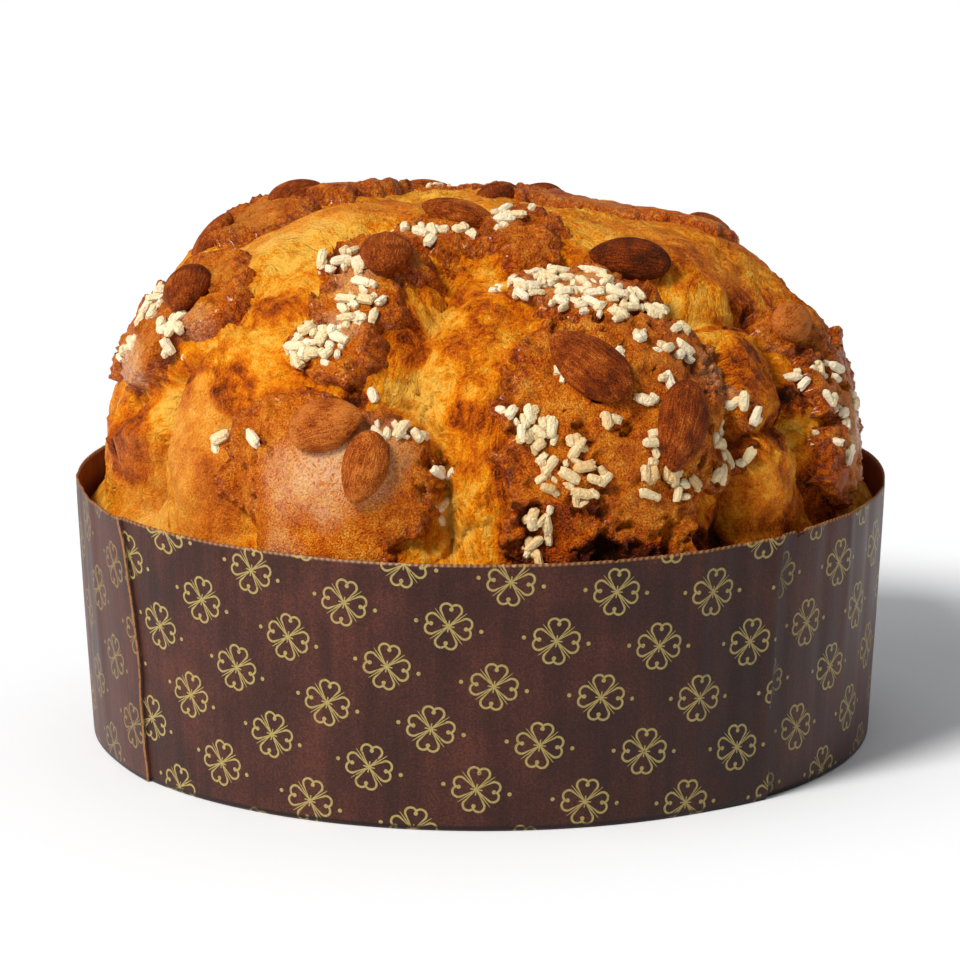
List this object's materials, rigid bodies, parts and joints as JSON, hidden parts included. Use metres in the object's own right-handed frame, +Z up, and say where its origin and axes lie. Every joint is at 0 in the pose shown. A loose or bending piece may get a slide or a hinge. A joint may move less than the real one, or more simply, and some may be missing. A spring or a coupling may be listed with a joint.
{
  "type": "panettone",
  "caption": "Low domed panettone, torn almond glaze with pearl sugar and whole almonds on golden crumb, in a round brown paper baking case.",
  "frame": {"origin": "middle of the paper case's underside, on the plane it stands on", "axes": "+Z up through the crown; the front that the picture shows faces -Y; +X is its right"},
  "size_m": [0.2166, 0.217, 0.1488],
  "materials": {
    "loaf": "satin baked crust",
    "almond": "matt wrinkled skin",
    "paper": "satin printed baking paper"
  },
  "bodies": {
    "root": {"loaf": "loaf", "almond_01": "almond", "almond_02": "almond", "almond_03": "almond", "almond_04": "almond", "almond_05": "almond", "almond_06": "almond", "almond_07": "almond", "almond_08": "almond", "almond_09": "almond", "almond_10": "almond", "almond_11": "almond", "almond_12": "almond", "almond_13": "almond", "almond_14": "almond", "almond_15": "almond", "almond_16": "almond", "almond_17": "almond", "almond_18": "almond", "almond_19": "almond", "almond_20": "almond", "paper_case": "paper"}
  },
  "joints": []
}
